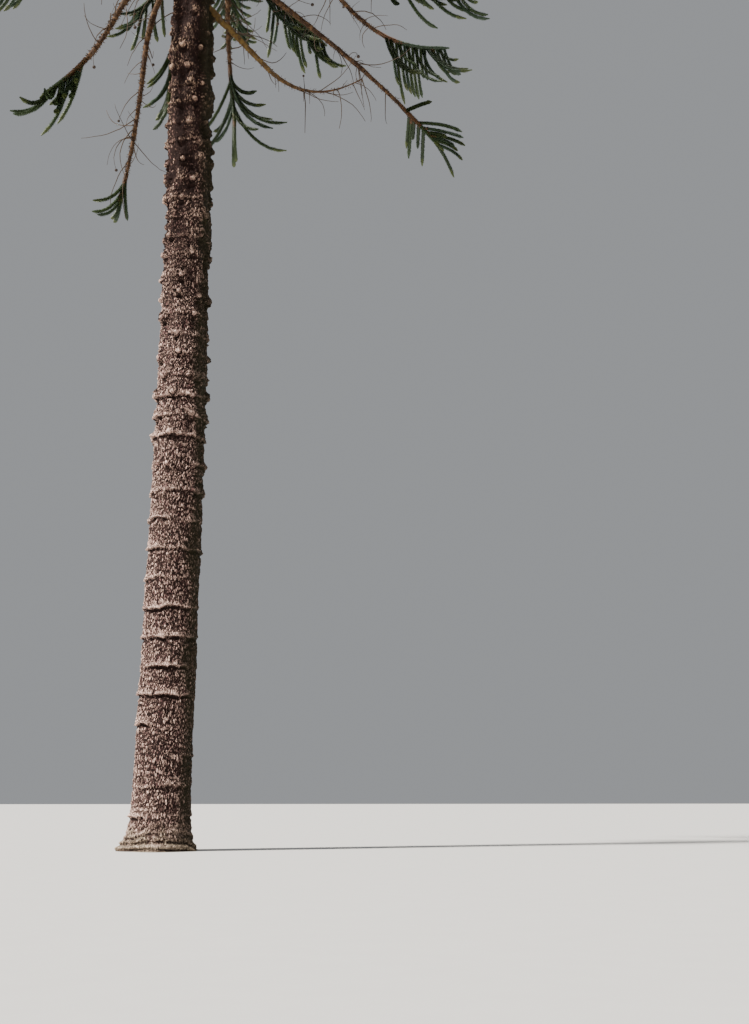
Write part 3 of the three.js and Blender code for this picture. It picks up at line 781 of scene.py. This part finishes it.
def free_shoots():
    """Which shoots grow. Leading shoots come first, limb by limb, and then as many of the others as the
    leafy length has room for. A shoot that comes too near another limb, or another limb's shoot, is left
    out, and so is one of the others that reaches out of the crown."""
    leafy = limbs["length"] * (1 - bare_share)
    lesser_count = leafy / SHOOT_SPACING - limbs["shoots"] / SHOOT_STRIDE
    share = np.clip(lesser_count / (limbs["shoots"] * (1 - 1 / SHOOT_STRIDE)), 0.1, 1)[shoot_limb]
    rank = shoot_number - shoot_number // SHOOT_STRIDE - 1
    wanted = leading | (np.floor((rank + 1) * share) > np.floor(rank * share))
    low, high = np.array(cad_box[0]) - CROWN_MARGIN, np.array(cad_box[1]) + CROWN_MARGIN
    wanted &= leading | np.all((shoot_world > low) & (shoot_world < high), axis=(1, 2))
    places = [limb_world[:, 2:].reshape(-1, 3)]
    owners = [np.repeat(np.arange(limb_count), LIMB_STEPS - 1)]
    reach = [np.full(limb_count * (LIMB_STEPS - 1), STEM_RADIUS)]
    kept = np.zeros(len(shoot_limb), dtype=bool)
    for turn in (leading, ~leading):
        for n in range(limb_count):
            mine = np.flatnonzero((shoot_limb == n) & turn & wanted)
            if not len(mine):
                continue
            place, owner, size = np.concatenate(places), np.concatenate(owners), np.concatenate(reach)
            others = owner != n
            gap = np.linalg.norm(shoot_world[mine][:, :, None] - place[others], axis=-1)
            room = np.all(gap > SHOOT_RADIUS + size[others] + CLEARANCE, axis=(1, 2))
            kept[mine] = room
            taken = shoot_world[mine[room]].reshape(-1, 3)
            places.append(taken)
            owners.append(np.full(len(taken), n))
            reach.append(np.full(len(taken), SHOOT_RADIUS))
    return kept


kept = free_shoots()
shoot_limb = shoot_limb[kept]
shoot_turn = np.radians(limbs["angle"][shoot_limb]) + shoot_aside[kept]
shoot_length = shoot_length[kept]
shoot_world = shoot_world[kept]


def forks():
    """Side shoots in the whorls: each is the rest of its parent from a place along it, turned about the
    upright line through that place and made a little shorter."""
    random = np.random.default_rng(17)
    parent = np.flatnonzero((shoot_limb >= len(BOUGHS)) & (random.random(len(shoot_limb)) < FORKED_SHARE))
    place = random.uniform(*FORK_PLACES, len(parent))
    scale = random.uniform(*FORK_SCALES, len(parent))
    turn = np.radians(random.uniform(*FORK_TURNS, len(parent)) * random.choice([-1, 1], len(parent)))
    rest = along_path(shoot_world[parent], mix(place[:, None], 1, np.linspace(0, 1, SHOOT_STEPS + 1)))
    arm = (rest - rest[:, :1]) * scale[:, None, None]
    c, s = np.cos(turn)[:, None], np.sin(turn)[:, None]
    x, y, z = np.moveaxis(arm, -1, 0)
    turned = np.stack([x * c - y * s, x * s + y * c, z], axis=-1)
    length = shoot_length[parent] * (1 - place) * scale
    return shoot_limb[parent], shoot_turn[parent] + turn, length, rest[:, :1] + turned


fork_limb, fork_turn, fork_length, fork_world = forks()
shoot_limb = np.concatenate([shoot_limb, fork_limb])
shoot_turn = np.concatenate([shoot_turn, fork_turn])
shoot_length = np.concatenate([shoot_length, fork_length])
shoot_world = np.concatenate([shoot_world, fork_world])
leafy_limbs = np.flatnonzero(limbs["shoot"] > 0)
stem_share = mix(bare_share[leafy_limbs][:, None], 1, np.linspace(0, 1, SHOOT_STEPS + 1))
stem_world = to_world(along_path(limb_local[leafy_limbs], stem_share), leafy_limbs)
strand_world = np.concatenate([shoot_world, stem_world])
strand_turn = np.concatenate([shoot_turn, np.radians(limbs["angle"][leafy_limbs])])
strand_length = np.concatenate([shoot_length, limbs["length"][leafy_limbs] * (1 - bare_share[leafy_limbs])])
strand_limb = np.concatenate([shoot_limb, leafy_limbs])
is_stem = np.arange(len(strand_limb)) >= len(shoot_limb)
strand_across = np.stack([-np.sin(strand_turn), np.cos(strand_turn), np.zeros(len(strand_turn))], axis=-1)
strand_core = np.where(is_stem, STEM_CORE_RADIUS, CORE_RADIUS)


def leaf_material(name, colour, lit, roughness=0.42):
    """A plain colour that shifts a little from place to place, under a waxy half gloss or a duller one."""
    material, start = blank_material(name)
    place = start.node("ShaderNodeTexCoord", {}, {}, output=3)
    broad = start.node("ShaderNodeTexNoise", {}, {"Vector": place, "Scale": 5.0, "Detail": 2.0})
    fine = start.node("ShaderNodeTexNoise", {}, {"Vector": place, "Scale": 60.0, "Detail": 2.0})
    body = (broad * 0.6 + fine * 0.6 - 0.1).held().blend((*colour, 1), (*lit, 1))
    finish_material(start, body, roughness + fine * 0.2, fine, 0.002, specular=0.4)
    return material


mass_nodes = [f"foliage_{n + 1:02d}" for n in bough_numbers if limbs["shoot"][n] > 0] + crown_nodes
taper = np.array([1, 1, 1, 1, 1, 0.95, 0.85, 0.7, 0.35])
core_radii = strand_core[:, None, None] * taper[:, None]
points, faces = tubes(tube_rings(strand_world, strand_across[:, None, :], core_radii, CORE_SIDES))
piece = surface_mesh("shoot_cores", points, faces)
smooth_faces(piece)
piece.data.materials.append(leaf_material("core_green", (0.020, 0.030, 0.012), (0.045, 0.060, 0.022)))
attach(piece, "root")
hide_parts(*mass_nodes)


# LEAVES
# Stiff three-cornered scale leaves, set round each shoot in a spiral and lapping like tiles, sharp at the
# tip. Old ones stay dark for years; those of the last growth are yellow-green, and dead ones are rusty.
LEAVES_PER_METRE = 380
LEAF_LENGTH = 0.042
LEAF_WIDTH = 0.029
LEAF_KEEL = 0.005
LEAF_LEAN = 39
GOLDEN_TURN = math.pi * (3 - math.sqrt(5))
TIP_SHARE = 0.80
TIPPED_SHARE = 0.62
STEM_LEAVES = 1.25
STEM_LEAF_SIZE = 1.12
TONES = {
    "leaves_deep": ((0.012, 0.024, 0.009), (0.028, 0.048, 0.016)),
    "leaves_dark": ((0.018, 0.036, 0.012), (0.040, 0.066, 0.021)),
    "leaves_green": ((0.026, 0.046, 0.015), (0.056, 0.084, 0.026)),
    "leaves_blue": ((0.020, 0.040, 0.022), (0.044, 0.074, 0.038)),
    "leaves_tip": ((0.040, 0.058, 0.017), (0.092, 0.116, 0.032)),
    "leaves_rust": ((0.070, 0.032, 0.014), (0.165, 0.078, 0.034)),
}
TONE_NAMES = list(TONES)
TONE_SHARES = [0.27, 0.28, 0.25, 0.20]

random = np.random.default_rng(7)
strand_tone = random.choice(4, len(strand_limb), p=TONE_SHARES)
strand_tipped = random.random(len(strand_limb)) < TIPPED_SHARE
stem_rust = random.uniform(0.15, 0.5, len(strand_limb))
rust_end = np.where(is_stem, stem_rust, random.uniform(-0.5, 0.16, len(strand_limb)))
leaf_count = np.maximum(12, strand_length * LEAVES_PER_METRE * np.where(is_stem, STEM_LEAVES, 1.0))
leaf_count = leaf_count.astype(int)
leaf_strand = np.repeat(np.arange(len(strand_limb)), leaf_count)
leaf_number = np.arange(len(leaf_strand)) - np.repeat(np.cumsum(leaf_count) - leaf_count, leaf_count)
leaf_share = (leaf_number + 0.5) / leaf_count[leaf_strand]


def lay_leaves(paths, strand, share, across, turn, lean, length, width, sunk):
    """Kites on paths, four corners each: root, one shoulder, tip and the other shoulder.

    Each stands at a share of its path, on the side that its turn round the path gives, and leans off the
    path's direction by an angle: forward = cos(lean) * direction + sin(lean) * outward. Its root is sunk so
    far off the path, and its shoulders lie below its keel."""
    place = share * (paths.shape[1] - 1)
    step = np.minimum(np.floor(place).astype(int), paths.shape[1] - 2)
    here = paths[strand, step]
    centre = here + (paths[strand, step + 1] - here) * (place - step)[:, None]
    tangents = unit(np.gradient(paths, axis=-2))
    tangent = unit(mix(tangents[strand, step], tangents[strand, step + 1], (place - step)[:, None]))
    across = unit(across - tangent * np.sum(across * tangent, axis=-1, keepdims=True))
    up = np.cross(tangent, across)
    outward = np.cos(turn)[:, None] * across + np.sin(turn)[:, None] * up
    forward = np.cos(lean)[:, None] * tangent + np.sin(lean)[:, None] * outward
    sideways = unit(np.cross(outward, forward))
    above = unit(np.cross(forward, sideways))
    root = centre + outward * sunk[:, None]
    shoulder = root + forward * 0.28 * length[:, None] - above * LEAF_KEEL
    half = sideways * width[:, None] / 2
    return np.stack([root, shoulder - half, root + forward * length[:, None], shoulder + half], axis=1)


turn = leaf_number * GOLDEN_TURN + random.uniform(-0.15, 0.15, len(leaf_strand))
closing = smooth((leaf_share - 0.86) / 0.14)
lean = np.radians(LEAF_LEAN + random.uniform(-9, 9, len(leaf_strand))) * (1 - 0.55 * closing)
size = random.uniform(0.85, 1.12, len(leaf_strand)) * (1 - 0.35 * closing)
size = size * np.where(is_stem[leaf_strand], STEM_LEAF_SIZE, 1)
sunk = strand_core[leaf_strand] * (0.9 - 0.5 * closing)
leaf_points = lay_leaves(
    strand_world, leaf_strand, leaf_share, strand_across[leaf_strand], turn, lean,
    LEAF_LENGTH * size, LEAF_WIDTH * size, sunk,
)
tone = np.where((leaf_share > TIP_SHARE) & strand_tipped[leaf_strand], 4, strand_tone[leaf_strand])
rusty = leaf_share < rust_end[leaf_strand] + random.uniform(-0.06, 0.06, len(leaf_strand))
tone = np.where(rusty, 5, tone)


def leaf_piece(name, leaves):
    """Leaves of one tone: each a long kite folded along its keel, as two triangles that share the keel."""
    points = leaves.reshape(-1, 3)
    first = 4 * np.arange(len(leaves))[:, None]
    faces = np.stack([first + [0, 1, 2], first + [0, 2, 3]], axis=1).reshape(-1, 3)
    return surface_mesh(name, points, faces)


for n, name in enumerate(TONE_NAMES):
    piece = leaf_piece(name, leaf_points[tone == n])
    piece.data.materials.append(leaf_material(name, *TONES[name]))
    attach(piece, "root")
    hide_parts(*mass_nodes)


# DRY LEAVES
# Dead scale leaves still sit on the bare limbs, thinly and every way up, so that the limbs look rough.
DRY_PER_METRE = 210
DRY_LENGTHS = (0.026, 0.060)
DRY_LEANS = (40, 105)
DRY_FROM = 0.08

random = np.random.default_rng(31)
dry_count = DRY_PER_METRE * (bare_share - DRY_FROM) * limbs["length"] * np.where(limbs["shoot"] > 0, 1, 0.35)
dry_limb = np.repeat(np.arange(limb_count), dry_count.astype(int))
dry_share = random.uniform(DRY_FROM, 1.0, len(dry_limb)) * bare_share[dry_limb]
size = mix(*DRY_LENGTHS, random.random(len(dry_limb)))
dry_angle = np.radians(limbs["angle"])[dry_limb]
dry_across = np.stack([-np.sin(dry_angle), np.cos(dry_angle), 0 * dry_angle], axis=-1)
dry_turn = random.uniform(0, 2 * np.pi, len(dry_limb))
dry_lean = np.radians(random.uniform(*DRY_LEANS, len(dry_limb)))
sunk = 0.85 * limb_radius(dry_limb, dry_share)
dry_points = lay_leaves(
    limb_world, dry_limb, dry_share, dry_across, dry_turn, dry_lean, size, 0.6 * size, sunk
)
piece = leaf_piece("dry_leaves", dry_points)
dry_finish = leaf_material("dry_leaf", (0.030, 0.016, 0.009), (0.110, 0.062, 0.028), roughness=0.7)
piece.data.materials.append(dry_finish)
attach(piece, "root")
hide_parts(*[f"bough_{n + 1:02d}" for n in bough_numbers])


# DEAD TWIGS
# Wiry grey-brown twigs that stay on the bare limbs long after their leaves have gone, curved like hair. Each
# is a thin tube that turns from its first to its last angle off straight down, and wavers on the way.
TWIGS_PER_METRE = 9.0
TWIG_LENGTHS = (0.22, 1.35)
TWIG_RADIUS = 0.0088
TWIG_STEPS = 9
TWIG_SIDES = 4
TWIGS_FROM = 0.12
TWIG_SPREAD = 1.9
TWIG_SLOPES = (35, 120)
TWIG_CURLS = (15, 95)

random = np.random.default_rng(23)
bare_length = (bare_share - TWIGS_FROM) * limbs["length"]
twig_rate = np.where(np.arange(limb_count) < len(BOUGHS), TWIGS_PER_METRE, TWIGS_PER_METRE / 3)
twig_count = twig_rate * bare_length
twig_limb = np.repeat(np.arange(limb_count - 1), np.maximum(twig_count, 0).astype(int)[:-1])
total = len(twig_limb)
start_share = random.uniform(TWIGS_FROM, 1.0, total) * bare_share[twig_limb]
start = along_path(limb_world[twig_limb], start_share)
turn = np.radians(limbs["angle"][twig_limb]) + random.uniform(-TWIG_SPREAD, TWIG_SPREAD, total)
first = random.uniform(*TWIG_SLOPES, total)
last = first + random.choice([-1, 1], total, p=[0.55, 0.45]) * random.uniform(*TWIG_CURLS, total)
length = mix(*TWIG_LENGTHS, random.random(total) ** 1.7)
k = (np.arange(TWIG_STEPS) + 0.5) / TWIG_STEPS
bend = np.radians(mix(first[:, None], last[:, None], k ** 1.3) + random.uniform(-7, 7, (total, TWIG_STEPS)))
sway = turn[:, None] + np.cumsum(random.uniform(-0.14, 0.14, (total, TWIG_STEPS)), axis=1)
moves = np.stack([np.sin(bend) * np.cos(sway), np.sin(bend) * np.sin(sway), -np.cos(bend)], axis=-1)
moves = moves * (length / TWIG_STEPS)[:, None, None]
twig_world = start[:, None] + np.concatenate([np.zeros((total, 1, 3)), np.cumsum(moves, axis=1)], axis=1)
across = np.stack([-np.sin(turn), np.cos(turn), np.zeros(total)], axis=-1)[:, None, :]
radii = TWIG_RADIUS * np.linspace(1.15, 0.4, TWIG_STEPS + 1)[:, None] * (0.7 + 0.5 * length)[:, None, None]
points, faces = tubes(tube_rings(twig_world, across, radii, TWIG_SIDES))
piece = surface_mesh("dead_twigs", points, faces)
smooth_faces(piece)
twig_finish = leaf_material("dead_twig", (0.030, 0.019, 0.012), (0.085, 0.055, 0.034), roughness=0.7)
piece.data.materials.append(twig_finish)
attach(piece, "root")
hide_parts(*[f"bough_{n + 1:02d}" for n in bough_numbers])


# OLD CONES
# Small dark balls of old cones, woody and knobbly, left at the ends of a few dead twigs. Each is a tube down
# an upright axis whose radius follows a half circle, with bumps like the fields of a chessboard.
CONE_RADIUS = 0.030
CONE_SIZES = (0.7, 1.15)
CONE_SHARE = 0.10
CONE_RINGS = 7
CONE_SIDES = 10
CONE_BUMP = 0.10

has_cone = (random.random(total) < CONE_SHARE) & (twig_limb < len(BOUGHS))
cone_centre = twig_world[has_cone, -1]
axis = np.linspace(0, np.pi, CONE_RINGS + 2)[1:-1]
size = CONE_RADIUS * random.uniform(*CONE_SIZES, len(cone_centre))
spine = cone_centre[:, None] + np.stack([0 * axis, 0 * axis, np.cos(axis)], axis=-1) * size[:, None, None]
sideways = np.broadcast_to(np.array([0.0, 1.0, 0.0]), spine.shape)
bumps = 1 + CONE_BUMP * (-1) ** (np.arange(CONE_RINGS)[:, None] + np.arange(CONE_SIDES))
radii = np.sin(axis)[:, None] * size[:, None, None] * bumps
points, faces = tubes(tube_rings(spine, sideways, radii, CONE_SIDES))
piece = surface_mesh("old_cones", points, faces)
smooth_faces(piece)
cone_finish = leaf_material("old_cone", (0.022, 0.014, 0.010), (0.060, 0.038, 0.026), roughness=0.75)
piece.data.materials.append(cone_finish)
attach(piece, "root")
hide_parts(*[f"bough_{n + 1:02d}" for n in bough_numbers])


# STAGE
# A plain pale floor under an even pale sky, a soft key light from the upper left in front, and a camera at
# the photograph's place: 24.2 m away, 0.88 m up, turned a little to the right and tilted up.
FLOOR_HALF = 150.0
FLOOR_DROP = 0.002
CAMERA_DISTANCE = 24.2
CAMERA_HEIGHT = 0.88
CAMERA_PITCH = 11.5
CAMERA_YAW = 8.54
CAMERA_LENS = 49.2
KEY_AZIMUTH = 196
KEY_ALTITUDE = 46
KEY_ENERGY = 11.0
KEY_ANGLE = 5
SKY_STRENGTH = 0.35

corner = FLOOR_HALF * np.array([[-1, -1], [1, -1], [1, 1], [-1, 1]])
floor = surface_mesh("floor", np.hstack([corner, np.full((4, 1), -FLOOR_DROP)]), [[0, 1, 2], [0, 2, 3]])
material, start = blank_material("pale_floor")
place = start.node("ShaderNodeTexCoord", {}, {}, output=3)
grain = start.node("ShaderNodeTexNoise", {}, {"Vector": place, "Scale": 3.0, "Detail": 2.0})
finish_material(start, grain.blend((0.60, 0.59, 0.57, 1), (0.64, 0.63, 0.61, 1)), 0.9, grain, 0.0005)
floor.data.materials.append(material)

world = bpy.data.worlds.new("pale_sky")
world.use_nodes = True
background = world.node_tree.nodes["Background"]
background.inputs["Color"].default_value = (0.90, 0.93, 0.97, 1)
background.inputs["Strength"].default_value = SKY_STRENGTH
bpy.context.scene.world = world

key = bpy.data.lights.new("key", "SUN")
key.energy = KEY_ENERGY
key.angle = math.radians(KEY_ANGLE)
key.color = (1.0, 0.955, 0.89)
key_object = bpy.data.objects.new("key", key)
key_object.rotation_euler = (math.radians(90 - KEY_ALTITUDE), 0, math.radians(KEY_AZIMUTH - 270))
bpy.context.scene.collection.objects.link(key_object)

camera = bpy.data.cameras.new("camera")
camera.lens = CAMERA_LENS
camera.clip_end = 500
camera_object = bpy.data.objects.new("camera", camera)
camera_object.location = (0, -CAMERA_DISTANCE, CAMERA_HEIGHT)
camera_object.rotation_euler = (math.radians(90 + CAMERA_PITCH), 0, math.radians(-CAMERA_YAW))
bpy.context.scene.collection.objects.link(camera_object)
bpy.context.scene.camera = camera_object
